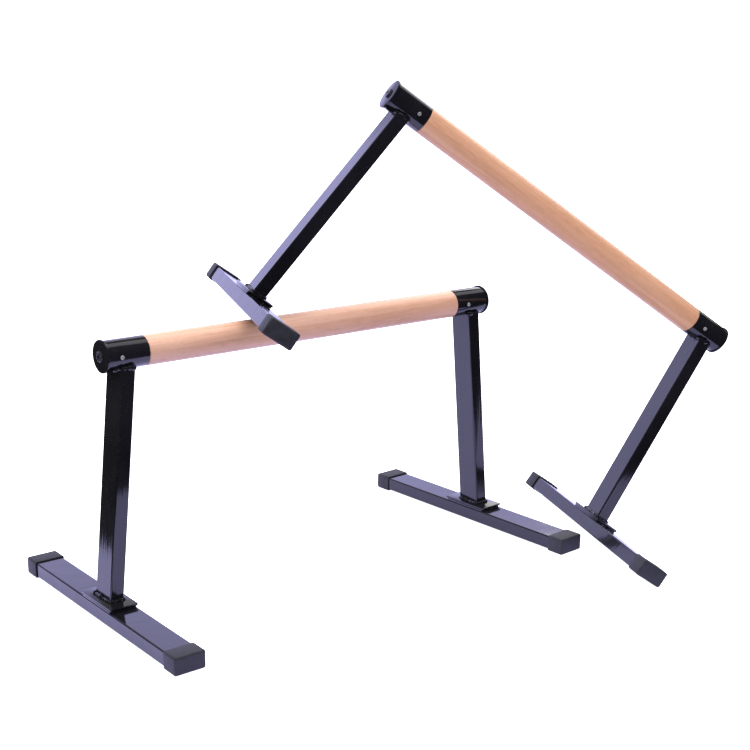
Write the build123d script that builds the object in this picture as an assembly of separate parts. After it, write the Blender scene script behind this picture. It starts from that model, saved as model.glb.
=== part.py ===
from build123d import *
from math import asin, atan2, cos, degrees, hypot, radians, sin, tan
import os

# A pair of parallettes: low freestanding bars for push-ups and handstands. Each has a beech bar held
# at both ends in a steel sleeve, on a leaning leg of rectangular tube, on a long tubular foot. One
# stands on its feet. The other leans on it: its left foot lies across the standing bar, and its right
# foot stands on its outer lower edge on the floor.
#
# Millimetres, +Z up. One parallette is modelled about its own middle: +X along the bar towards the
# right end, -Y the front, and Z = 0 the floor. Pieces are built for the right end and mirrored.

# Bar and sleeves
UNIT_LENGTH = 640.0          # over both end discs
BAR_HEIGHT = 350.0           # floor to the bar's centre line
BAR_RADIUS = 20.0            # the sleeves are flush with the wood
SLEEVE_LENGTH = 60.0         # with its end disc
SLEEVE_WALL = 1.5
TENON_CLEARANCE = 0.1        # between tenon and sleeve, all round
TENON_END_GAP = 2.0          # between tenon and end disc
SHOULDER_CHAMFER = 1.2       # on the wood where it meets the sleeve
DISC_RADIUS = 21.5
DISC_THICKNESS = 3.0
DISC_EDGE_ROUND = 0.6
STANDING_SCREW_OFFSETS = (20.0, 40.0)   # left and right sleeve screw, from the outer face of the disc
LEANING_SCREW_OFFSETS = (45.0, 42.0)

# Legs, plates and feet
LEG_WIDTH = 20.0             # along X
LEG_DEPTH = 40.0             # along Y
TUBE_WALL = 1.5
TUBE_CORNER = 2.0            # outer corner radius of leg and foot tubes
LEG_X_AT_BAR = 290.0         # leg's centre line at the bar's height
FOOT_X = 320.0               # foot's centre line, which the leg's line meets at the top of the foot
LEG_TOP_DROP = 16.0          # square cut of the leg's top, below the bar's centre line
PLATE_THICKNESS = 3.0
LEG_PLATE_LENGTH = 80.0
FOOT_PLATE_LENGTH = 74.0
FOOT_WIDTH = 40.0            # along X
FOOT_HEIGHT = 20.0
FOOT_LENGTH = 400.0          # of the steel tube
CAP_WALL = 2.0
CAP_END_WALL = 3.0
CAP_GRIP = 24.0              # length of tube inside the cap
CAP_ROUND = 3.0

# Weld beads
SLEEVE_BEAD_WIDTH = 4.5
SLEEVE_BEAD_DEPTH = 2.0
SLEEVE_BEAD_BELOW = 5.0      # below the leg's square cut
SLEEVE_BEAD_ABOVE = 3.0
LEG_BEAD = 5.0
FOOT_BEAD_WIDTH = 4.0
FOOT_BEAD_MARGIN = 3.0       # from the end of the bead to the side of the plate
BEAD_FEATHER = 0.4           # how far the thin edge of a bead stands off the tube

# Fasteners
END_BOLT_RADIUS = 4.0
END_BOLT_REACH = 30.0        # behind the face of the disc
END_HEAD_RADIUS = 7.0
END_HEAD_HEIGHT = 2.8
END_SOCKET = 5.0             # across flats
INSERT_RADIUS = 6.0
INSERT_BORE_DEPTH = 35.0
FOOT_BOLT_RADIUS = 3.0
FOOT_BOLT_Y = 30.0
FOOT_HEAD_RADIUS = 5.2
FOOT_HEAD_HEIGHT = 3.2
FOOT_SOCKET = 4.0
ACCESS_RADIUS = 6.5          # hole in the underside of the foot for the bolt's head
FOOT_THREAD_LEFT = 0.5       # steel left above the blind tapped hole in the leg plate
BOLT_CLEARANCE = 0.2
SCREW_HEAD_RADIUS = 2.6
SCREW_HEAD_HEIGHT = 1.3
SCREW_RADIUS = 1.5
SCREW_LENGTH = 14.0
SCREW_SLOT = 0.8             # width of each arm of the cross recess
SCREW_SLOT_LENGTH = 3.0

# How the pair stands
STANDING_RIGHT_TOE = 3.5     # the standing parallette's right foot turns outwards at its front, in degrees
LEAN_HEADING = -22.0         # of its bar, about Z, in degrees
CROSSING_ON_BAR = -83.0      # where its left foot crosses the standing bar, along X
CROSSING_ON_FOOT = -16.0     # the same place along the foot, from the foot's middle
CROSSING_GAP = 0.3           # between foot tube and bar

# Heights and places that follow
FOOT_BOTTOM = CAP_WALL
FOOT_TOP = FOOT_BOTTOM + FOOT_HEIGHT
LEG_PLATE_BOTTOM = FOOT_TOP + PLATE_THICKNESS
LEG_PLATE_TOP = LEG_PLATE_BOTTOM + PLATE_THICKNESS
LEG_TOP = BAR_HEIGHT - LEG_TOP_DROP
DISC_FACE = UNIT_LENGTH / 2
DISC_BACK = DISC_FACE - DISC_THICKNESS
SLEEVE_INNER_END = DISC_FACE - SLEEVE_LENGTH
TENON_END = DISC_BACK - TENON_END_GAP
CAP_HALF_WIDTH = FOOT_WIDTH / 2 + CAP_WALL
CAP_HEIGHT = FOOT_HEIGHT + 2 * CAP_WALL
LEG_ANGLE = atan2(FOOT_X - LEG_X_AT_BAR, BAR_HEIGHT - FOOT_TOP)


def leg_x(z):
    """Where the right leg's centre line is at height z."""
    return LEG_X_AT_BAR + (BAR_HEIGHT - z) * tan(LEG_ANGLE)


def along_x(x, z=BAR_HEIGHT):
    """Place for a piece whose own +Z is to point along +X."""
    return Plane(origin=(x, 0, z), x_dir=(0, 1, 0), z_dir=(1, 0, 0)).location


def rod_x(radius, start, end):
    """Round rod on the bar's centre line, from X = start to X = end."""
    return along_x((start + end) / 2) * Cylinder(radius, end - start)


def slab(bottom, top):
    """Everything between two heights."""
    return Pos(0, 0, (bottom + top) / 2) * Box(4 * UNIT_LENGTH, 4 * UNIT_LENGTH, top - bottom)


def flare(low, high):
    """Straight-sided loft between two rounded rectangles, each (z, centre x, width, depth, corner)."""
    outlines = []
    for z, x, width, depth, corner in (low, high):
        outlines.append(Pos(x, 0, z) * RectangleRounded(width, depth, corner))
    return loft(outlines, ruled=True)


def button_bolt(radius, reach, head_radius, head_height, socket):
    """Button-head bolt along +Z with the seat of its head at Z = 0."""
    head = Pos(0, 0, head_height / 2) * Cylinder(head_radius, head_height)
    head = fillet(head.edges().sort_by(Axis.Z)[-1], 0.6 * head_height)
    recess = extrude(RegularPolygon(socket / 2, 6, major_radius=False), 0.6 * head_height)
    shank = Pos(0, 0, -reach / 2) * Cylinder(radius, reach)
    return head + shank - Pos(0, 0, 0.4 * head_height) * recess


# Bar end

def sleeve(screw_offset):
    shell = rod_x(BAR_RADIUS, SLEEVE_INNER_END, DISC_BACK)
    shell -= rod_x(BAR_RADIUS - SLEEVE_WALL, SLEEVE_INNER_END, DISC_BACK)
    return shell - screw_hole(screw_offset, SCREW_RADIUS + BOLT_CLEARANCE)


def end_disc():
    disc = rod_x(DISC_RADIUS, DISC_BACK, DISC_FACE)
    disc = fillet(disc.edges().group_by(Axis.X)[-1], DISC_EDGE_ROUND)
    return disc - rod_x(END_BOLT_RADIUS + BOLT_CLEARANCE, DISC_BACK, DISC_FACE)


def end_bolt():
    bolt = button_bolt(END_BOLT_RADIUS, END_BOLT_REACH, END_HEAD_RADIUS, END_HEAD_HEIGHT, END_SOCKET)
    return along_x(DISC_FACE) * bolt


def insert_nut():
    inner_end = DISC_FACE - END_BOLT_REACH
    return rod_x(INSERT_RADIUS, inner_end, TENON_END) - rod_x(END_BOLT_RADIUS, inner_end, TENON_END)


def screw_hole(offset, radius):
    """Rod from the front of the sleeve into the wood, where a sleeve screw goes."""
    depth = SCREW_LENGTH
    centre = (DISC_FACE - offset, -BAR_RADIUS + depth / 2, BAR_HEIGHT)
    return Plane(origin=centre, x_dir=(1, 0, 0), z_dir=(0, -1, 0)).location * Cylinder(radius, depth)


def sleeve_screw(offset):
    """Pan-head screw with a cross recess, its head seated on the round of the sleeve."""
    seat = Plane(origin=(DISC_FACE - offset, -BAR_RADIUS, BAR_HEIGHT), x_dir=(1, 0, 0), z_dir=(0, -1, 0))
    head = Pos(0, 0, SCREW_HEAD_HEIGHT / 2) * Cylinder(SCREW_HEAD_RADIUS, SCREW_HEAD_HEIGHT)
    head = fillet(head.edges().sort_by(Axis.Z)[-1], 0.5 * SCREW_HEAD_HEIGHT)
    head += Pos(0, 0, -0.25) * Cylinder(SCREW_HEAD_RADIUS, 0.5)
    for length, width in ((SCREW_SLOT_LENGTH, SCREW_SLOT), (SCREW_SLOT, SCREW_SLOT_LENGTH)):
        head -= Pos(0, 0, SCREW_HEAD_HEIGHT) * Box(length, width, SCREW_HEAD_HEIGHT)
    head = seat.location * head - rod_x(BAR_RADIUS, SLEEVE_INNER_END, DISC_BACK)
    return head + screw_hole(offset, SCREW_RADIUS)


# Leg

def leg_prism(width, depth, corner):
    """Solid bar of the leg's section along its leaning centre line, longer than the leg."""
    top = Plane(origin=(LEG_X_AT_BAR, 0, BAR_HEIGHT), x_dir=(cos(LEG_ANGLE), 0, sin(LEG_ANGLE)),
                z_dir=(sin(LEG_ANGLE), 0, -cos(LEG_ANGLE)))
    return extrude(top * RectangleRounded(width, depth, corner), BAR_HEIGHT)


def leg_envelope():
    """The leg with its hollow filled, cut square at both ends and scooped to fit the sleeve."""
    outer = leg_prism(LEG_WIDTH, LEG_DEPTH, TUBE_CORNER) & slab(LEG_PLATE_TOP, LEG_TOP)
    return outer - rod_x(BAR_RADIUS, SLEEVE_INNER_END, DISC_BACK)


def leg():
    hollow = leg_prism(LEG_WIDTH - 2 * TUBE_WALL, LEG_DEPTH - 2 * TUBE_WALL, TUBE_CORNER - TUBE_WALL)
    return leg_envelope() - hollow


def sleeve_weld():
    bottom = LEG_TOP - SLEEVE_BEAD_BELOW
    top = LEG_TOP + SLEEVE_BEAD_ABOVE
    low = (bottom, leg_x(bottom), LEG_WIDTH + 2 * BEAD_FEATHER, LEG_DEPTH + 2 * BEAD_FEATHER, TUBE_CORNER)
    high = (top, leg_x(top), LEG_WIDTH + 2 * SLEEVE_BEAD_WIDTH, LEG_DEPTH + 2 * SLEEVE_BEAD_DEPTH,
            2 * TUBE_CORNER)
    return flare(low, high) - leg_envelope() - rod_x(BAR_RADIUS, SLEEVE_INNER_END, DISC_BACK)


def leg_weld():
    bottom = LEG_PLATE_TOP
    top = LEG_PLATE_TOP + LEG_BEAD
    low = (bottom, leg_x(bottom), LEG_WIDTH + 2 * LEG_BEAD, LEG_DEPTH + 2 * LEG_BEAD, LEG_BEAD)
    high = (top, leg_x(top), LEG_WIDTH + 2 * BEAD_FEATHER, LEG_DEPTH + 2 * BEAD_FEATHER, TUBE_CORNER)
    return flare(low, high) - leg_envelope()


# Foot

def foot_bolt_places():
    return [Pos(FOOT_X, y, 0) for y in (-FOOT_BOLT_Y, FOOT_BOLT_Y)]


def upright_holes(radius, bottom, top):
    """Rods where the two foot bolts go, between two heights."""
    rod = Pos(0, 0, (bottom + top) / 2) * Cylinder(radius, top - bottom)
    return [place * rod for place in foot_bolt_places()]


def leg_plate():
    middle = (LEG_PLATE_BOTTOM + LEG_PLATE_TOP) / 2
    plate = Pos(FOOT_X, 0, middle) * Box(FOOT_WIDTH, LEG_PLATE_LENGTH, PLATE_THICKNESS)
    return plate - upright_holes(FOOT_BOLT_RADIUS, LEG_PLATE_BOTTOM, LEG_PLATE_TOP - FOOT_THREAD_LEFT)


def foot_plate():
    middle = (FOOT_TOP + LEG_PLATE_BOTTOM) / 2
    plate = Pos(FOOT_X, 0, middle) * Box(FOOT_WIDTH, FOOT_PLATE_LENGTH, PLATE_THICKNESS)
    return plate - upright_holes(FOOT_BOLT_RADIUS + BOLT_CLEARANCE, FOOT_TOP, LEG_PLATE_BOTTOM)


def foot_weld():
    """A bead along each short end of the foot plate."""
    width = FOOT_WIDTH - 2 * FOOT_BEAD_MARGIN
    end = FOOT_PLATE_LENGTH / 2
    wedge = Plane.YZ * Polygon((end, FOOT_TOP), (end + FOOT_BEAD_WIDTH, FOOT_TOP),
                               (end, LEG_PLATE_BOTTOM), align=None)
    bead = Pos(FOOT_X - width / 2, 0, 0) * extrude(wedge, width)
    return [bead, mirror(bead, about=Plane.XZ)]


def foot_prism(width, height, corner, length):
    """Solid bar of rounded section lying along Y at the right foot."""
    back = Plane(origin=(FOOT_X, length / 2, FOOT_BOTTOM + FOOT_HEIGHT / 2), x_dir=(1, 0, 0),
                 z_dir=(0, -1, 0))
    return extrude(back * RectangleRounded(width, height, corner), length)


def foot_tube():
    tube = foot_prism(FOOT_WIDTH, FOOT_HEIGHT, TUBE_CORNER, FOOT_LENGTH)
    tube -= foot_prism(FOOT_WIDTH - 2 * TUBE_WALL, FOOT_HEIGHT - 2 * TUBE_WALL,
                       TUBE_CORNER - TUBE_WALL, FOOT_LENGTH)
    tube -= upright_holes(ACCESS_RADIUS, FOOT_BOTTOM, FOOT_BOTTOM + TUBE_WALL)
    return tube - upright_holes(FOOT_BOLT_RADIUS + BOLT_CLEARANCE, FOOT_TOP - TUBE_WALL, FOOT_TOP)


def foot_bolts():
    seat = FOOT_TOP - TUBE_WALL
    reach = LEG_PLATE_TOP - FOOT_THREAD_LEFT - seat
    bolt = button_bolt(FOOT_BOLT_RADIUS, reach, FOOT_HEAD_RADIUS, FOOT_HEAD_HEIGHT, FOOT_SOCKET)
    upside_down = Pos(0, 0, seat) * Rot(180, 0, 0) * bolt
    return [place * upside_down for place in foot_bolt_places()]


def front_cap():
    """Rubber cap over the front end of the foot tube, closed towards -Y."""
    length = CAP_GRIP + CAP_END_WALL
    end = -FOOT_LENGTH / 2 - CAP_END_WALL
    cap = Pos(FOOT_X, end + length / 2, CAP_HEIGHT / 2) * Box(2 * CAP_HALF_WIDTH, length, CAP_HEIGHT)
    long_edges = cap.edges().filter_by(Axis.Y)
    end_edges = cap.edges().group_by(Axis.Y)[0]
    cap = fillet(long_edges + end_edges, CAP_ROUND)
    return cap - foot_prism(FOOT_WIDTH, FOOT_HEIGHT, TUBE_CORNER, FOOT_LENGTH)


# One parallette

FOOT_PIECES = ("leg_plate", "foot_plate", "foot_weld", "foot_tube", "front_cap", "back_cap")


def bar(screw_offsets):
    """Beech bar with tenons, bores for the insert nuts and pilot holes for the screws."""
    wood = rod_x(BAR_RADIUS, -SLEEVE_INNER_END, SLEEVE_INNER_END)
    ends = wood.edges().group_by(Axis.X)
    wood = chamfer(ends[0] + ends[-1], SHOULDER_CHAMFER)
    wood += rod_x(BAR_RADIUS - SLEEVE_WALL - TENON_CLEARANCE, -TENON_END, TENON_END)
    bore = rod_x(INSERT_RADIUS, TENON_END - INSERT_BORE_DEPTH, TENON_END)
    left_pilot, right_pilot = (screw_hole(offset, SCREW_RADIUS) for offset in screw_offsets)
    wood -= [bore, right_pilot]
    return wood - [mirror(bore, about=Plane.YZ), mirror(left_pilot, about=Plane.YZ)]


def end_pieces(screw_offset):
    """Every piece of the right-hand end but those in the groups of fasteners."""
    cap = front_cap()
    return {
        "sleeve": sleeve(screw_offset),
        "end_disc": end_disc(),
        "end_bolt": end_bolt(),
        "insert_nut": insert_nut(),
        "leg": leg(),
        "sleeve_weld": sleeve_weld(),
        "leg_weld": leg_weld(),
        "leg_plate": leg_plate(),
        "foot_plate": foot_plate(),
        "foot_weld": foot_weld(),
        "foot_tube": foot_tube(),
        "front_cap": cap,
        "back_cap": mirror(cap, about=Plane.XZ),
    }


def as_list(piece):
    return piece if isinstance(piece, list) else [piece]


def parallette(screw_offsets, right_toe):
    """All pieces of one parallette by name, each a list of solids."""
    left_offset, right_offset = screw_offsets
    turn = Pos(FOOT_X, 0, 0) * Rot(0, 0, right_toe) * Pos(-FOOT_X, 0, 0)
    pieces = {"bar": [bar(screw_offsets)]}
    for name, piece in end_pieces(right_offset).items():
        solids = as_list(piece)
        pieces["right_" + name] = [turn * solid for solid in solids] if name in FOOT_PIECES else solids
    for name, piece in end_pieces(left_offset).items():
        pieces["left_" + name] = [mirror(solid, about=Plane.YZ) for solid in as_list(piece)]
    pieces["sleeve_screws"] = [sleeve_screw(right_offset), mirror(sleeve_screw(left_offset), about=Plane.YZ)]
    bolts = foot_bolts()
    pieces["foot_bolts"] = [turn * bolt for bolt in bolts] + [mirror(bolt, about=Plane.YZ) for bolt in bolts]
    return pieces


def leaning_place():
    """Place of the leaning parallette: left foot on the standing bar, right foot's edge on the floor."""
    # Centres of the two rounded edges that touch, in the leaning parallette's own X and Z
    floor_x = FOOT_X + CAP_HALF_WIDTH - CAP_ROUND
    floor_z = CAP_ROUND
    bar_x = -(FOOT_X - FOOT_WIDTH / 2) - TUBE_CORNER
    bar_z = FOOT_BOTTOM + TUBE_CORNER
    rise = BAR_HEIGHT + BAR_RADIUS + CROSSING_GAP + TUBE_CORNER - CAP_ROUND
    run_x = floor_x - bar_x
    run_z = bar_z - floor_z
    slope = asin(rise / hypot(run_x, run_z)) - atan2(run_z, run_x)
    heading = radians(LEAN_HEADING)
    x_axis = Vector(cos(slope) * cos(heading), cos(slope) * sin(heading), -sin(slope))
    y_axis = Vector(-sin(heading), cos(heading), 0)
    z_axis = x_axis.cross(y_axis)
    crossing = Vector(CROSSING_ON_BAR, 0, BAR_HEIGHT + BAR_RADIUS + CROSSING_GAP + TUBE_CORNER)
    origin = crossing - x_axis * bar_x - y_axis * CROSSING_ON_FOOT - z_axis * bar_z
    print("leaning parallette: slope", round(degrees(slope), 3), "origin", origin)
    return Plane(origin=origin, x_dir=x_axis, z_dir=z_axis).location


def assembly():
    """Both parallettes by node name, with the origin under the middle of their common box."""
    nodes = {}
    for name, solids in parallette(STANDING_SCREW_OFFSETS, STANDING_RIGHT_TOE).items():
        nodes["standing_" + name] = Compound(children=solids)
    place = leaning_place()
    for name, solids in parallette(LEANING_SCREW_OFFSETS, 0).items():
        nodes["leaning_" + name] = Compound(children=[place * solid for solid in solids])
    boxes = [node.bounding_box() for node in nodes.values()]
    low_x, high_x = min(box.min.X for box in boxes), max(box.max.X for box in boxes)
    low_y, high_y = min(box.min.Y for box in boxes), max(box.max.Y for box in boxes)
    shift = Pos(-(low_x + high_x) / 2, -(low_y + high_y) / 2, 0)
    print("shift of the standing parallette", shift.position)
    return {name: shift * node for name, node in nodes.items()}


os.makedirs("parts", exist_ok=True)
for node_name, node in assembly().items():
    export_step(node, f"parts/{node_name}.step")
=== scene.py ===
import math
import random

import bmesh
import bpy
from mathutils import Matrix, Vector, noise


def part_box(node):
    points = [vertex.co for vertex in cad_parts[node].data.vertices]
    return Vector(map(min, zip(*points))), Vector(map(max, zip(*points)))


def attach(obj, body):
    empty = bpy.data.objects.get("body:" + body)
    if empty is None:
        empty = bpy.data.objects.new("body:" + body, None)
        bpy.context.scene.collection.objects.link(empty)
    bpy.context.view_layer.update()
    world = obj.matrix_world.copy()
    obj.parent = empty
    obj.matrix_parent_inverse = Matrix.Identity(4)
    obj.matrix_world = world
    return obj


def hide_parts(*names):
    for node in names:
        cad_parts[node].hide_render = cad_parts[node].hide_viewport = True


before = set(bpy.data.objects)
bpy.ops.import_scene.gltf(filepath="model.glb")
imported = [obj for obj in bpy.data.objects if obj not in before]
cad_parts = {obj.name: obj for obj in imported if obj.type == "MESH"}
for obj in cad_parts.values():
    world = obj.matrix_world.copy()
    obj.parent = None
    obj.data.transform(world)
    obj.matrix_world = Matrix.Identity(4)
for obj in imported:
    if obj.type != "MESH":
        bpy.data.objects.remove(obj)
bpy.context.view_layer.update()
scene = bpy.context.scene

MM = 0.001


# Layout. Each parallette is described about its own middle: +X along the bar to the right end, -Y the
# front, Z = 0 under the feet. The standing one gives the sizes; both share them.

def middle(node):
    low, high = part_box(node)
    return (low + high) / 2


feet_middle = (middle("standing_left_foot_tube") + middle("standing_right_foot_tube")) / 2
origin = Vector((feet_middle.x, feet_middle.y, 0.0))


def end_box(node):
    """Box of a right-hand end's node, mirrored from the standing left end, whose foot is square."""
    low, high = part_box("standing_left_" + node)
    low, high = low - origin, high - origin
    return Vector((-high.x, low.y, low.z)), Vector((-low.x, high.y, high.z))


bar_low, bar_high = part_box("standing_bar")
sleeve_low, sleeve_high = end_box("sleeve")
disc_low, disc_high = end_box("end_disc")
leg_low, leg_high = end_box("leg")
leg_plate_low, leg_plate_high = end_box("leg_plate")
foot_plate_low, foot_plate_high = end_box("foot_plate")
tube_low, tube_high = end_box("foot_tube")
cap_low, cap_high = end_box("front_cap")

BAR_RADIUS = (bar_high.z - bar_low.z) / 2
BAR_HEIGHT = (bar_high.z + bar_low.z) / 2
LEG_DEPTH = leg_high.y - leg_low.y
LEG_WIDTH = LEG_DEPTH / 2   # the tube is half as wide as it is deep
FOOT_X = (tube_low.x + tube_high.x) / 2
CAP_WALL = tube_low.x - cap_low.x
LEG_BOTTOM_X = leg_high.x - LEG_WIDTH / 2
LEG_TOP_X = leg_low.x + LEG_WIDTH / 2


def leg_x(z):
    """Where the right leg's centre line is at height z."""
    share = (z - leg_low.z) / (leg_high.z - leg_low.z)
    return LEG_BOTTOM_X + (LEG_TOP_X - LEG_BOTTOM_X) * share


def leaning_matrix():
    """The leaning parallette's place, from its feet and its bar."""
    feet = [middle("leaning_%s_foot_tube" % side) for side in ("left", "right")]
    between = (feet[0] + feet[1]) / 2
    x_axis = (feet[1] - feet[0]).normalized()
    to_bar = middle("leaning_bar") - between
    z_axis = (to_bar - x_axis * to_bar.dot(x_axis)).normalized()
    y_axis = z_axis.cross(x_axis)
    place = Matrix((x_axis, y_axis, z_axis)).transposed().to_4x4()
    place.translation = between - z_axis * feet_middle.z
    return place


def toe_matrix():
    """The standing right foot points a little outwards, turned about the foot of its leg."""
    along = middle("standing_right_front_cap") - middle("standing_right_back_cap")
    turn = Matrix.Rotation(math.atan2(along.x, -along.y), 4, "Z")
    return Matrix.Translation((FOOT_X, 0, 0)) @ turn @ Matrix.Translation((-FOOT_X, 0, 0))


PLACES = {"standing": Matrix.Translation(origin), "leaning": leaning_matrix()}
MIRROR = Matrix.Scale(-1, 4, Vector((1, 0, 0)))
TOES = {("standing", "right"): toe_matrix()}
FOOT_NODES = ("leg_plate", "foot_plate", "foot_weld", "front_cap", "back_cap")


# Materials

class Nodes:
    """A node tree, built a node at a time."""

    def __init__(self, tree):
        self.tree = tree

    def node(self, kind, inputs=None, **settings):
        made = self.tree.nodes.new("ShaderNode" + kind)
        for key, value in settings.items():
            setattr(made, key, value)
        for key, value in (inputs or {}).items():
            self.put(made.inputs[key], value)
        return made

    def put(self, socket, value):
        if isinstance(value, bpy.types.NodeSocket):
            self.tree.links.new(value, socket)
        else:
            socket.default_value = value

    def mix(self, share, a, b, blend="MIX"):
        made = self.node("Mix", data_type="RGBA", blend_type=blend)
        for socket, value in ((made.inputs[0], share), (made.inputs[6], a), (made.inputs[7], b)):
            if isinstance(value, tuple):
                value = (*value, 1.0)
            self.put(socket, value)
        return made.outputs[2]

    def choose(self, share, a, b):
        """Number a where share is 0, and b where it is 1."""
        return self.node("Mix", {0: share, 2: a, 3: b}, data_type="FLOAT").outputs[0]

    def spread(self, value, low, high, start=0.3, end=0.7):
        """A value from start to end taken to one from low to high."""
        return self.node("MapRange", {"Value": value, "From Min": start, "From Max": end,
                                      "To Min": low, "To Max": high}).outputs[0]


class Look(Nodes):
    """A material and its shader."""

    def __init__(self, name, roughness=0.5, specular=0.5, metallic=0.0):
        self.material = bpy.data.materials.new(name)
        self.material.use_nodes = True
        super().__init__(self.material.node_tree)
        self.surface = self.tree.nodes["Principled BSDF"]
        self.surface.inputs["Roughness"].default_value = roughness
        self.surface.inputs["Specular IOR Level"].default_value = specular
        self.surface.inputs["Metallic"].default_value = metallic

    def point(self, place=None):
        """Coordinates in metres that stay with the piece, in a parallette's own frame if given."""
        found = self.node("TexCoord").outputs["Object"]
        if place is None:
            return found
        back = place.inverted()
        return self.node("Mapping", {"Vector": found, "Location": back.translation,
                                     "Rotation": back.to_euler("XYZ")}).outputs[0]

    def stretched(self, point, x, y, z):
        return self.node("VectorMath", {0: point, 1: (x, y, z)}, operation="MULTIPLY").outputs[0]

    def noise(self, point, scale, detail=2.0, roughness=0.5, distortion=0.0):
        return self.node("TexNoise", {"Vector": point, "Scale": scale, "Detail": detail,
                                      "Roughness": roughness, "Distortion": distortion}).outputs[0]

    def ramp(self, value, *stops):
        made = self.node("ValToRGB", {"Fac": value})
        elements = made.color_ramp.elements
        while len(elements) < len(stops):
            elements.new(0.5)
        for element, (place, color) in zip(elements, stops):
            element.position = place
            element.color = (*color, 1.0)
        return made.outputs["Color"]

    def relief(self, height, distance, normal=None):
        made = self.node("Bump", {"Height": height, "Distance": distance})
        if normal is not None:
            self.put(made.inputs["Normal"], normal)
        return made.outputs[0]

    def finish(self, color, roughness, normal):
        self.put(self.surface.inputs["Base Color"], color)
        self.put(self.surface.inputs["Roughness"], roughness)
        self.put(self.surface.inputs["Normal"], normal)
        return self.material


def beech(name, place, seed, tone):
    """Fine-sanded beech with its grain along the bar, under a thin satin lacquer."""
    look = Look(name, specular=0.4)
    look.surface.inputs["Coat Weight"].default_value = 0.4
    look.surface.inputs["Coat Roughness"].default_value = 0.34
    point = look.node("VectorMath", {0: look.point(place), 1: (seed, 0.37 * seed, 0.73 * seed)},
                      operation="ADD").outputs[0]
    broad = look.noise(look.stretched(point, 3.0, 38.0, 38.0), 1.0, 3.0, 0.55, 0.4)
    streaks = look.noise(look.stretched(point, 7.0, 330.0, 330.0), 1.0, 3.0, 0.6, 0.2)
    fibre = look.noise(look.stretched(point, 45.0, 2200.0, 2200.0), 1.0, 2.0, 0.6)
    flecks = look.noise(look.stretched(point, 260.0, 1500.0, 1500.0), 1.0, 1.0, 0.4)
    color = look.ramp(broad, (0.30, (0.560, 0.295, 0.175)), (0.52, (0.640, 0.370, 0.245)),
                      (0.72, (0.700, 0.440, 0.315)))
    color = look.mix(look.spread(streaks, 0.0, 0.42, 0.42, 0.68), color, (0.430, 0.205, 0.108))
    color = look.mix(look.spread(fibre, 0.0, 0.20, 0.45, 0.75), color, (0.700, 0.470, 0.340))
    color = look.mix(look.spread(flecks, 0.0, 0.45, 0.64, 0.74), color, (0.300, 0.135, 0.070))
    blotches = look.noise(look.stretched(point, 60.0, 190.0, 190.0), 1.0, 4.0, 0.65)
    color = look.mix(look.spread(blotches, 0.0, 0.30, 0.42, 0.70), color, (0.760, 0.440, 0.330))
    color = look.mix(1.0, color, tone, "MULTIPLY")
    rough = look.spread(streaks, 0.40, 0.52)
    normal = look.relief(fibre, 0.00003)
    normal = look.relief(flecks, 0.00004, normal)
    return look.finish(color, rough, normal)


def gloss_paint(name, wave, peel, specks, along=None):
    """Gloss black paint over steel: slow waves, a fine orange peel and light specks: a little dust, and on
    the weld painted glints.

    On a leg, whose parallette's place is given, the waves are runs drawn down the tube."""
    look = Look(name, specular=0.5)
    point = look.point()
    if along is None:
        waves = look.noise(point, 34.0, 2.0, 0.5)
    else:
        waves = look.noise(look.stretched(look.point(along), 170.0, 170.0, 9.0), 1.0, 2.0, 0.5)
    skin = look.noise(point, 310.0, 2.0, 0.5)
    patches = look.noise(point, 9.0, 3.0, 0.6)
    grains = look.node("TexVoronoi", {"Vector": point, "Scale": 420.0}).outputs["Distance"]
    near = look.spread(look.noise(point, 60.0, 2.0), 0.0, 1.0, 0.5, 0.62)
    # Light grey specks mixed into the black: dust where the share is small, painted glints on the weld where
    # it is large.
    dust_and_glint_dots = look.node("Math", {0: look.spread(grains, 1.0, 0.0, 0.10, 0.17), 1: near}, operation="MULTIPLY")
    share = look.node("Math", {0: dust_and_glint_dots.outputs[0], 1: specks}, operation="MULTIPLY").outputs[0]
    color = look.ramp(patches, (0.35, (0.0055, 0.0055, 0.0075)), (0.65, (0.0095, 0.0092, 0.0125)))
    color = look.mix(share, color, (0.42, 0.42, 0.44))
    rough = look.spread(patches, 0.075, 0.15)
    normal = look.relief(waves, wave)
    normal = look.relief(skin, peel, normal)
    return look.finish(color, rough, normal)


def rubber():
    """Matte moulded rubber with a fine grain and faint scuffs."""
    look = Look("rubber_moulded", specular=0.35)
    point = look.point()
    patches = look.noise(point, 70.0, 4.0, 0.6)
    grain = look.noise(point, 1800.0, 2.0, 0.5)
    scuffs = look.noise(look.stretched(point, 900.0, 160.0, 420.0), 1.0, 2.0, 0.5)
    color = look.ramp(patches, (0.32, (0.017, 0.017, 0.024)), (0.68, (0.028, 0.028, 0.038)))
    color = look.mix(look.spread(scuffs, 0.0, 0.5, 0.62, 0.76), color, (0.055, 0.055, 0.068))
    normal = look.relief(grain, 0.00006)
    normal = look.relief(patches, 0.0002, normal)
    return look.finish(color, look.spread(patches, 0.50, 0.66), normal)


def metal(name, dark, light, roughness, scratch, metallic=1.0):
    """Bare or plated metal with a patchy tone and fine scratches."""
    look = Look(name, metallic=metallic)
    point = look.point()
    patches = look.noise(point, 240.0, 4.0, 0.6)
    fine = look.noise(point, 2600.0, 2.0, 0.6)
    color = look.ramp(patches, (0.3, dark), (0.7, light))
    normal = look.relief(fine, scratch)
    return look.finish(color, look.spread(patches, roughness - 0.06, roughness + 0.08), normal)


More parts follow.
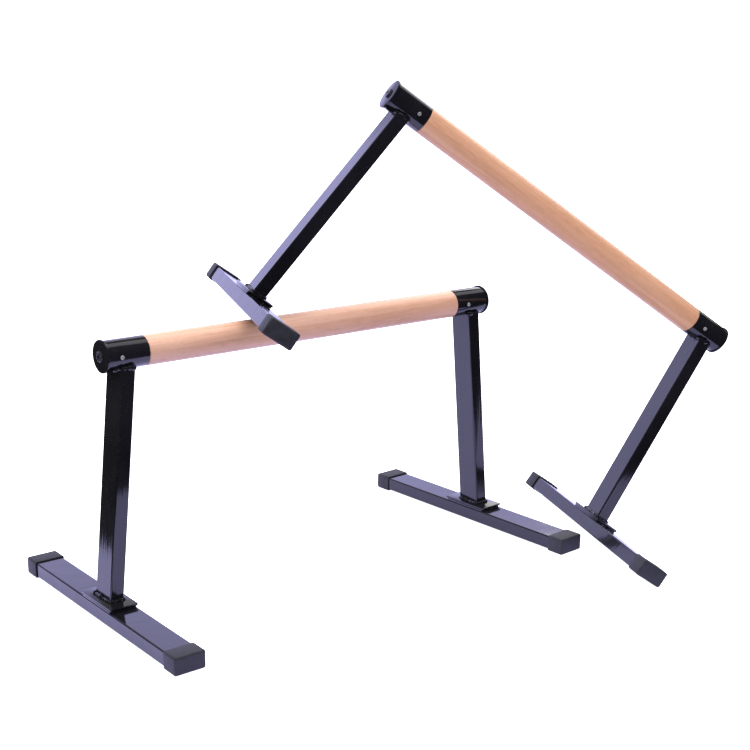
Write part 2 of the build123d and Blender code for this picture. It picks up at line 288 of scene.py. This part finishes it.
PAINT = gloss_paint("gloss_paint", 0.34 * MM, 0.016 * MM, 0.10)
LEG_PAINT = {unit: gloss_paint("gloss_paint_on_legs_" + unit, 0.16 * MM, 0.016 * MM, 0.12, place)
             for unit, place in PLACES.items()}
# On the weld the specks are strong: light grey dots painted on the bead stand in for glints.
WELD_PAINT = gloss_paint("gloss_paint_on_weld", 0.6 * MM, 0.12 * MM, 0.9)
RUBBER = rubber()
looks = {
    "black_paint": PAINT,
    "rubber": RUBBER,
    "black_bolt": metal("black_oxide", (0.020, 0.020, 0.024), (0.050, 0.050, 0.058), 0.24, 0.00002, 0.3),
    "silver_screw": metal("zinc_plate", (0.42, 0.42, 0.43), (0.66, 0.66, 0.68), 0.34, 0.00002, 0.55),
    "insert_brass": metal("turned_brass", (0.60, 0.42, 0.17), (0.74, 0.56, 0.27), 0.32, 0.00002),
}
wood = {"standing": beech("beech_pink", PLACES["standing"], 3.1, (1.0, 0.98, 1.0)),
        "leaning": beech("beech_golden", PLACES["leaning"], 8.4, (0.97, 0.89, 0.77))}

for name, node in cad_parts.items():
    unit = name.split("_")[0]
    for slot in node.material_slots:
        kind = slot.material.name.split(".")[0]
        if kind == "beech":
            slot.material = wood[unit]
        elif name.endswith("_leg"):
            slot.material = LEG_PAINT[unit]
        else:
            slot.material = looks[kind]


# Pieces and mesh helpers

def add_piece(unit, side, name, mesh, material, slot, *stands_for):
    """Put a right-hand end's mesh on one end of a parallette, standing for some of its CAD nodes."""
    place = PLACES[unit] if side == "right" else PLACES[unit] @ MIRROR
    if stands_for[0] in FOOT_NODES:
        place = place @ TOES.get((unit, side), Matrix())
    mesh.transform(place)
    if side == "left":
        mesh.flip_normals()
    mesh.materials.append(material)
    piece = bpy.data.objects.new("%s_%s_%s" % (unit, side, name), mesh)
    scene.collection.objects.link(piece)
    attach(piece, unit + "_parallette")
    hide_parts(*["%s_%s_%s" % (unit, side, node) for node in stands_for])


def to_mesh(bm, name):
    """Smooth-shaded mesh of what was built, which is freed."""
    bmesh.ops.recalc_face_normals(bm, faces=bm.faces)
    for face in bm.faces:
        face.smooth = True
    mesh = bpy.data.meshes.new(name)
    bm.to_mesh(mesh)
    bm.free()
    return mesh


def sharpen(mesh, degrees):
    """Keep edges crisp where faces turn by more than an angle."""
    mesh.set_sharp_from_angle(angle=math.radians(degrees))
    return mesh


def bridge(bm, rings, closed=False):
    """Quads between rings of vertices that have the same count."""
    pairs = list(zip(rings, rings[1:]))
    if closed:
        pairs.append((rings[-1], rings[0]))
    for a, b in pairs:
        for k in range(len(a)):
            n = (k + 1) % len(a)
            bm.faces.new((a[k], a[n], b[n], b[k]))


def rounded_rectangle(half_x, half_y, radius, steps=6):
    """Corner points of a rounded rectangle, anticlockwise."""
    points = []
    for sx, sy, start in ((1, 1, 0), (-1, 1, 90), (-1, -1, 180), (1, -1, 270)):
        for k in range(steps + 1):
            turn = math.radians(start + 90 * k / steps)
            points.append((sx * (half_x - radius) + radius * math.cos(turn),
                           sy * (half_y - radius) + radius * math.sin(turn)))
    return points


def resample(points, step, closed):
    """Evenly spaced points along a path, about a step apart."""
    if closed:
        points = points + [points[0]]
    lengths = [(b - a).length for a, b in zip(points, points[1:])]
    count = max(4, round(sum(lengths) / step))
    spaced = []
    for k in range(count if closed else count + 1):
        s = sum(lengths) * k / count
        for a, b, length in zip(points, points[1:], lengths):
            if s <= length or b is points[-1]:
                spaced.append(a.lerp(b, min(1.0, s / length if length else 0.0)))
                break
            s -= length
    return spaced


def smoothed(points, closed, passes):
    """Path with its corners worn down, a little more with each pass."""
    for _ in range(passes):
        count = len(points)
        moved = []
        for k, p in enumerate(points):
            if closed or 0 < k < count - 1:
                p = (points[k - 1] + p * 2 + points[(k + 1) % count]) / 4
            moved.append(p)
        points = moved
    return points


BEAD_STEP = 0.9 * MM
BEAD_SIDES = 14
SMOOTHING_PASSES = 3
RIPPLE = 0.07              # swell of the even ripples, as a share of the bead's radius
RIPPLE_STEPS = 3.4         # least length of a ripple, in steps along the bead
UNEVENNESS = 0.30          # swell along the bead
LUMPINESS = 0.16           # swell over its surface
LUMPS_PER_METRE = 620.0
WANDER = 0.5 * MM          # how far the bead strays sideways, at most
STEPS_PER_DROP = 22
DROP_SWELL = (0.25, 0.6)   # least and most
DROP_SPREAD = 2.6          # in steps along the bead
END_TAPER = 3.0            # in steps from an open end


def add_bead(bm, points, radius, seed, closed=False, flat=1.0):
    """A lumpy run of weld along a path, with ripples where it froze and a few larger drops."""
    rng = random.Random(seed)
    points = smoothed(resample(points, BEAD_STEP, closed), closed, SMOOTHING_PASSES)
    count = len(points)
    period = round(count / (RIPPLE_STEPS + rng.random())) or 1
    drops = [(rng.randrange(count), rng.uniform(*DROP_SWELL))
             for _ in range(max(1, count // STEPS_PER_DROP))]
    rings = []
    for k, p in enumerate(points):
        ahead = points[(k + 1) % count] if closed or k + 1 < count else p
        behind = points[k - 1] if closed or k else p
        tangent = (ahead - behind).normalized()
        across = tangent.cross(Vector((0, 0, 1))).normalized()
        rise = across.cross(tangent)
        swell = 1.0 + RIPPLE * math.sin(2 * math.pi * k * period / count)
        swell += UNEVENNESS * noise.noise(Vector((k * 0.21, seed, 0.5)))
        for place, gain in drops:
            away = min(abs(k - place), count - abs(k - place)) if closed else abs(k - place)
            swell += gain * math.exp(-(away / DROP_SPREAD) ** 2)
        if not closed:
            swell *= math.sqrt(min(1.0, (min(k, count - 1 - k) + 0.5) / END_TAPER))
        r = (radius(p) if callable(radius) else radius) * swell
        wander = across * (WANDER * noise.noise(Vector((k * 0.13, seed + 9.0, 2.0))))
        ring = []
        for j in range(BEAD_SIDES):
            turn = 2 * math.pi * j / BEAD_SIDES
            spot = p + wander + (across * math.cos(turn) + rise * (flat * math.sin(turn))) * r
            spot += (spot - p) * (LUMPINESS * noise.noise(spot * LUMPS_PER_METRE + Vector((seed, 0, 0))))
            ring.append(bm.verts.new(spot))
        rings.append(ring)
    bridge(bm, rings, closed)
    if not closed:
        bm.faces.new(rings[0])
        bm.faces.new(rings[-1])


# Welds

SLEEVE_BEAD_THIN = 1.5       # radius along the leg's sides, in millimetres
SLEEVE_BEAD_SWELL = 1.2      # more than that at its front and back
SLEEVE_BEAD_TURN = 11 * MM   # where the bead starts to swell, from the middle of the leg
SLEEVE_BEAD_RUN = 4 * MM     # over which it swells
SLEEVE_BEAD_SIDE = 0.2 * MM  # from the leg's side faces in to the middle of the bead
SLEEVE_BEAD_END = 2.9 * MM   # the same from its front and back faces
SLEEVE_BEAD_CORNER = 2.2 * MM
SLEEVE_BEAD_STEP = 1.5 * MM
SLEEVE_BEAD_SINK = 0.3 * MM  # from the saddle down to the middle of the bead
NOTCH_RISE = 0.9 * MM        # from the leg's top to the highest the bead may reach on the saddle
LEG_BEAD_RADIUS = 2.5 * MM
LEG_BEAD_OFFSET = 0.6 * MM   # from the leg's faces out to the middle of the bead
LEG_BEAD_CORNER = 2.4 * MM
LEG_BEAD_RISE = 0.9 * MM     # from the upper plate to the middle of the bead
FOOT_BEAD_RADIUS = 2.1 * MM
FOOT_BEAD_OFFSET = 0.4 * MM  # from the lower plate's end to the middle of the bead
FOOT_BEAD_RISE = 0.7 * MM    # from the foot tube to the middle of the bead
FOOT_BEAD_HALF = 17          # half the length of the bead, in millimetres
FOOT_BEAD_FLATNESS = 0.85


def resample_flat(points, step):
    """Evenly spaced points round a closed flat outline."""
    return [(p.x, p.y) for p in resample([Vector((x, y, 0)) for x, y in points], step, True)]


def sleeve_weld(seed):
    """Round the top of the leg: in the notches at front and back, and along the saddle at the sides."""
    half_x, half_y = LEG_WIDTH / 2 - SLEEVE_BEAD_SIDE, LEG_DEPTH / 2 - SLEEVE_BEAD_END
    notch = leg_high.z + NOTCH_RISE

    def on_saddle(x, y):
        z = min(BAR_HEIGHT - math.sqrt(BAR_RADIUS ** 2 - y ** 2), notch) - SLEEVE_BEAD_SINK
        return Vector((leg_x(z) + x, y, z))

    outline = [on_saddle(x, y) for x, y in
               resample_flat(rounded_rectangle(half_x, half_y, SLEEVE_BEAD_CORNER), SLEEVE_BEAD_STEP)]

    def radius(p):
        share = max(0.0, min(1.0, (abs(p.y) - SLEEVE_BEAD_TURN) / SLEEVE_BEAD_RUN))
        return (SLEEVE_BEAD_THIN + SLEEVE_BEAD_SWELL * share) * MM

    bm = bmesh.new()
    add_bead(bm, outline, radius, seed, closed=True)
    return to_mesh(bm, "sleeve_weld")


def leg_weld(seed):
    """Round the foot of the leg, on the upper plate."""
    z = leg_plate_high.z + LEG_BEAD_RISE
    bm = bmesh.new()
    half_x, half_y = LEG_WIDTH / 2 + LEG_BEAD_OFFSET, LEG_DEPTH / 2 + LEG_BEAD_OFFSET
    outline = [Vector((leg_x(z) + x, y, z))
               for x, y in rounded_rectangle(half_x, half_y, LEG_BEAD_CORNER)]
    add_bead(bm, outline, LEG_BEAD_RADIUS, seed, closed=True)
    return to_mesh(bm, "leg_weld")


def foot_weld(seed):
    """A bead along each short end of the foot plate."""
    bm = bmesh.new()
    for turn, sign in enumerate((-1, 1)):
        y = sign * (foot_plate_high.y + FOOT_BEAD_OFFSET)
        z = tube_high.z + FOOT_BEAD_RISE
        run = [Vector((FOOT_X + x * MM, y, z)) for x in (-FOOT_BEAD_HALF, 0, FOOT_BEAD_HALF)]
        add_bead(bm, run, FOOT_BEAD_RADIUS, seed + turn * 5, flat=FOOT_BEAD_FLATNESS)
    return to_mesh(bm, "foot_weld")


# Plates, caps and sleeves

PLATE_CORNER = 1.2 * MM
PLATE_EASE = 0.45 * MM
CAP_CORNER = 3.0 * MM
CAP_HOLLOW_CORNER = 2.0 * MM
CAP_CORNER_STEPS = 7
CAP_RIM = 0.7 * MM           # length of the rim's rounding
CAP_RIM_STEPS = 7
CAP_SOFT = 2.6 * MM          # rounding of the closed end
CAP_LEAST_CORNER = 0.6 * MM
SLEEVE_WALL = 1.5 * MM
SLEEVE_ROLL = 0.5 * MM       # rounding of the sleeve's cut edge
DISC_EASE = 0.55 * MM
DISC_BORE = 4.1 * MM         # radius of the hole for the end bolt
ARC_STEPS = 5
TURNED_SEGMENTS = 112
TURNED_CREASE = 50           # edges that turn by more degrees stay crisp
PLATE_CREASE = 40


def plate(low, high):
    """Sheet steel cut to a rectangle, with its edges and corners eased."""
    bm = bmesh.new()
    outline = rounded_rectangle((high.x - low.x) / 2, (high.y - low.y) / 2, PLATE_CORNER, 4)
    centre = (low + high) / 2
    ease = PLATE_EASE
    rings = []
    for z, inset in ((low.z, ease), (low.z + 0.3 * ease, 0.3 * ease), (low.z + ease, 0.0),
                     (high.z - ease, 0.0), (high.z - 0.3 * ease, 0.3 * ease), (high.z, ease)):
        rings.append([bm.verts.new((centre.x + x - math.copysign(inset, x),
                                    centre.y + y - math.copysign(inset, y), z)) for x, y in outline])
    bridge(bm, rings)
    for ring in (rings[0], rings[-1]):
        bm.faces.new(ring)
    return sharpen(to_mesh(bm, "plate"), PLATE_CREASE)


def cap(front):
    """Moulded cap over an end of the foot tube, with a rounded rim and softened edges."""
    half_x, half_z = (cap_high.x - cap_low.x) / 2, (cap_high.z - cap_low.z) / 2
    hollow_x, hollow_z = half_x - CAP_WALL, half_z - CAP_WALL
    rim, end = cap_high.y, cap_low.y
    inner_end = tube_low.y
    rows = [(inner_end, hollow_x, hollow_z, CAP_HOLLOW_CORNER),
            (rim - CAP_RIM, hollow_x, hollow_z, CAP_HOLLOW_CORNER)]
    for k in range(1, CAP_RIM_STEPS):
        turn = math.radians(180 * k / CAP_RIM_STEPS)
        grow = CAP_WALL / 2 * (1 - math.cos(turn))
        rows.append((rim - CAP_RIM + CAP_RIM * math.sin(turn), hollow_x + grow, hollow_z + grow,
                     CAP_HOLLOW_CORNER + grow / 2))
    rows.append((rim - CAP_RIM, half_x, half_z, CAP_CORNER))
    rows.append(((rim + end) / 2, half_x, half_z, CAP_CORNER))
    for k in range(ARC_STEPS + 1):
        turn = math.radians(90 * k / ARC_STEPS)
        inset = CAP_SOFT * (1 - math.cos(turn))
        rows.append((end + CAP_SOFT - CAP_SOFT * math.sin(turn), half_x - inset, half_z - inset,
                     max(CAP_LEAST_CORNER, CAP_CORNER - inset * 0.8)))
    bm = bmesh.new()
    rings = []
    for y, x_half, z_half, radius in rows:
        rings.append([bm.verts.new((FOOT_X + x, y if front else -y, cap_low.z + half_z + z))
                      for x, z in rounded_rectangle(x_half, z_half, radius, CAP_CORNER_STEPS)])
    bridge(bm, rings)
    bm.faces.new(rings[0])
    bm.faces.new(rings[-1])
    return sharpen(to_mesh(bm, "cap"), TURNED_CREASE)


def turned(profile, name):
    """Closed ring turned about the bar's centre line from (x, radius) corners."""
    bm = bmesh.new()
    rings = []
    for x, r in profile:
        ring = []
        for k in range(TURNED_SEGMENTS):
            turn = 2 * math.pi * k / TURNED_SEGMENTS
            ring.append(bm.verts.new((x, r * math.cos(turn), BAR_HEIGHT + r * math.sin(turn))))
        rings.append(ring)
    bridge(bm, rings, closed=True)
    return sharpen(to_mesh(bm, name), TURNED_CREASE)


def sleeve():
    """Steel tube with its cut edge rolled over by the paint."""
    start, end, outer = sleeve_low.x, sleeve_high.x, BAR_RADIUS
    roll = SLEEVE_ROLL
    profile = [(end, outer - SLEEVE_WALL), (end, outer)]
    for k in range(ARC_STEPS + 1):
        turn = math.radians(90 * k / ARC_STEPS)
        profile.append((start + roll - roll * math.sin(turn), outer - roll + roll * math.cos(turn)))
    profile.append((start, outer - SLEEVE_WALL))
    return turned(profile, "sleeve")


def end_plate():
    """Steel disc that closes the sleeve, with both its edges eased."""
    start, end = disc_low.x, disc_high.x
    radius, ease = (disc_high.z - disc_low.z) / 2, DISC_EASE
    profile = [(start, DISC_BORE), (end, DISC_BORE)]
    for k in range(ARC_STEPS + 1):
        turn = math.radians(90 * k / ARC_STEPS)
        profile.append((end - ease + ease * math.cos(turn), radius - ease + ease * math.sin(turn)))
    for k in range(ARC_STEPS + 1):
        turn = math.radians(90 * k / ARC_STEPS)
        profile.append((start + ease - ease * math.sin(turn), radius - ease + ease * math.cos(turn)))
    return turned(profile, "end_plate")


FIRST_SEED, SEED_STEP = 11, 10   # each end's welds are laid with seeds of their own
paint = (PAINT, "black_paint")
weld = (WELD_PAINT, "black_paint")
for unit_index, unit in enumerate(("standing", "leaning")):
    for side_index, side in enumerate(("left", "right")):
        seed = FIRST_SEED + SEED_STEP * (2 * unit_index + side_index)
        add_piece(unit, side, "tube_sleeve", sleeve(), *paint, "sleeve")
        add_piece(unit, side, "end_plate", end_plate(), *paint, "end_disc")
        add_piece(unit, side, "upper_plate", plate(leg_plate_low, leg_plate_high), *paint, "leg_plate")
        add_piece(unit, side, "lower_plate", plate(foot_plate_low, foot_plate_high), *paint, "foot_plate")
        add_piece(unit, side, "sleeve_bead", sleeve_weld(seed), *weld, "sleeve_weld")
        add_piece(unit, side, "leg_bead", leg_weld(seed + 1), *weld, "leg_weld")
        add_piece(unit, side, "foot_beads", foot_weld(seed + 2), *weld, "foot_weld")
        add_piece(unit, side, "front_rubber", cap(True), RUBBER, "rubber", "front_cap")
        add_piece(unit, side, "back_rubber", cap(False), RUBBER, "rubber", "back_cap")


# Camera

# The camera's place, turn and lens were fitted to the photograph.
CAMERA_YAW = 38.51       # degrees, from +Y towards +X
CAMERA_PITCH = 14.35     # downwards
CAMERA_ROLL = 0.69
CAMERA_FROM_ORIGIN = Vector((-1.107, -1.540, 0.7645))
SENSOR_WIDTH = 36.0      # millimetres, across the 750-pixel picture
FOCAL_LENGTH = 67.104    # millimetres


def add_camera():
    """At the photograph's viewing angle."""
    yaw, pitch, roll = (math.radians(angle) for angle in (CAMERA_YAW, CAMERA_PITCH, CAMERA_ROLL))
    ahead = Vector((math.sin(yaw) * math.cos(pitch), math.cos(yaw) * math.cos(pitch), -math.sin(pitch)))
    level = Vector((math.cos(yaw), -math.sin(yaw), 0))
    raised = level.cross(ahead)
    right = level * math.cos(roll) + raised * math.sin(roll)
    up = raised * math.cos(roll) - level * math.sin(roll)
    data = bpy.data.cameras.new("camera")
    data.sensor_width = SENSOR_WIDTH
    data.lens = FOCAL_LENGTH
    camera = bpy.data.objects.new("camera", data)
    camera.matrix_world = Matrix((right, up, -ahead)).transposed().to_4x4()
    camera.location = origin + CAMERA_FROM_ORIGIN
    scene.collection.objects.link(camera)
    scene.camera = camera


add_camera()
scene.view_settings.view_transform = "Standard"


# Studio

LAVENDER = (0.59, 0.575, 1.0)
PALE = (0.92, 0.92, 0.925)
FLOOR_RADIUS = 40
FLOOR_Z = -0.5 * MM
PAPER_Z = -0.3 * MM
PAPER_CORNERS = ((-0.63, -0.36), (1.6, -0.52), (1.6, 2.1), (-0.59, 2.1))


def flat_look(name, base, glow, strength):
    """Matte surface that also shines by itself."""
    look = Look(name, 1.0, specular=0.0)
    look.surface.inputs["Base Color"].default_value = (*base, 1)
    look.surface.inputs["Emission Color"].default_value = (*glow, 1)
    look.surface.inputs["Emission Strength"].default_value = strength
    return look.material


def flat_sheet(name, corners, material):
    """Single flat face that belongs to the stage."""
    mesh = bpy.data.meshes.new(name)
    mesh.from_pydata([Vector(c) for c in corners], [], [list(range(len(corners)))])
    mesh.materials.append(material)
    sheet = bpy.data.objects.new(name, mesh)
    scene.collection.objects.link(sheet)
    return sheet


def only_in_reflections(sheet):
    sheet.visible_camera = False
    sheet.visible_diffuse = False
    sheet.visible_shadow = False
    sheet.visible_transmission = False
    sheet.visible_volume_scatter = False


def card(name, centre, width, height, facing, color, strength):
    """A lit card that shows only in reflections."""
    facing = Vector(facing).normalized()
    level = Vector((0, 0, 1)).cross(facing)
    level = level.normalized() if level.length > 0.01 else Vector((1, 0, 0))
    rise = facing.cross(level)
    centre = Vector(centre)
    corners = [centre + level * (a * width / 2) + rise * (b * height / 2)
               for a, b in ((-1, -1), (1, -1), (1, 1), (-1, 1))]
    only_in_reflections(flat_sheet(name, corners, flat_look(name, (0, 0, 0), color, strength)))


rim = [math.radians(angle) for angle in range(0, 360, 5)]
floor = flat_sheet("floor", [(FLOOR_RADIUS * math.cos(a), FLOOR_RADIUS * math.sin(a), FLOOR_Z) for a in rim],
                   flat_look("pale_floor", PALE, PALE, 1.1))
floor.visible_glossy = False
floor.visible_diffuse = False
only_in_reflections(flat_sheet("paper", [(x, y, PAPER_Z) for x, y in PAPER_CORNERS],
                               flat_look("lilac_paper", LAVENDER, LAVENDER, 0.60)))

card("back_card", (0.9, 2.4, 0.64), 4.6, 1.28, (0, -1, 0), LAVENDER, 2.15)
card("back_card_right", (1.95, 2.4, 1.52), 2.5, 0.48, (0, -1, 0), LAVENDER, 2.15)
card("back_card_left", (-0.35, 2.4, 1.52), 2.1, 0.48, (0, -1, 0), LAVENDER, 1.0)
card("upper_card", (0.9, 2.6, 2.5), 5.0, 1.3, (0, -1, -0.35), (0.93, 0.93, 1.0), 1.15)
card("side_card", (3.0, 1.2, 2.1), 2.6, 1.4, (-1, -0.4, -0.3), (1.0, 0.98, 0.97), 4.0)
card("overhead_card", (1.2, 0.1, 1.9), 2.6, 0.9, (0, 0, -1), (0.92, 0.93, 1.0), 1.6)


WORLD_TOWARD = Vector((-0.35, 0.45, 0.82)).normalized()   # where its light is strongest
WORLD_LEAST, WORLD_MOST = 0.80, 1.74
WORLD_IN_GLOSS = 0.03
WORLD_TO_CAMERA = 1.15
WORLD_LOW_TINT = (0.93, 0.90, 1.12)
WORLD_HIGH_TINT = (1.0, 0.985, 0.98)


def add_world():
    """White to the camera, dark in reflections, and otherwise a light that is stronger overhead."""
    world = bpy.data.worlds.new("studio")
    scene.world = world
    world.use_nodes = True
    made = Nodes(world.node_tree)
    ray = made.node("LightPath")
    way = made.node("TexCoord").outputs["Generated"]
    toward = made.node("VectorMath", {0: way, 1: WORLD_TOWARD}, operation="DOT_PRODUCT").outputs["Value"]
    gain = made.spread(toward, WORLD_LEAST, WORLD_MOST, -0.6, 1.0)
    lit = made.choose(ray.outputs["Is Glossy Ray"], gain, WORLD_IN_GLOSS)
    background = made.tree.nodes["Background"]
    made.put(background.inputs["Strength"], made.choose(ray.outputs["Is Camera Ray"], lit, WORLD_TO_CAMERA))
    tint = made.mix(made.spread(toward, 0.0, 1.0, -0.5, 0.3), WORLD_LOW_TINT, WORLD_HIGH_TINT)
    made.put(background.inputs["Color"], tint)


def area_light(name, place, target, width, height, power, color):
    """Soft lamp that isn't seen itself, nor in reflections."""
    data = bpy.data.lights.new(name, "AREA")
    data.shape = "RECTANGLE"
    data.size, data.size_y = width, height
    data.energy = power
    data.color = color
    light = bpy.data.objects.new(name, data)
    scene.collection.objects.link(light)
    light.location = place
    light.rotation_euler = (Vector(target) - Vector(place)).to_track_quat("-Z", "Y").to_euler()
    light.visible_camera = False
    light.visible_glossy = False


add_world()
area_light("key", (-0.7, 0.3, 2.3), (0, 0, 0.2), 1.6, 1.6, 42, (1.0, 0.98, 0.96))
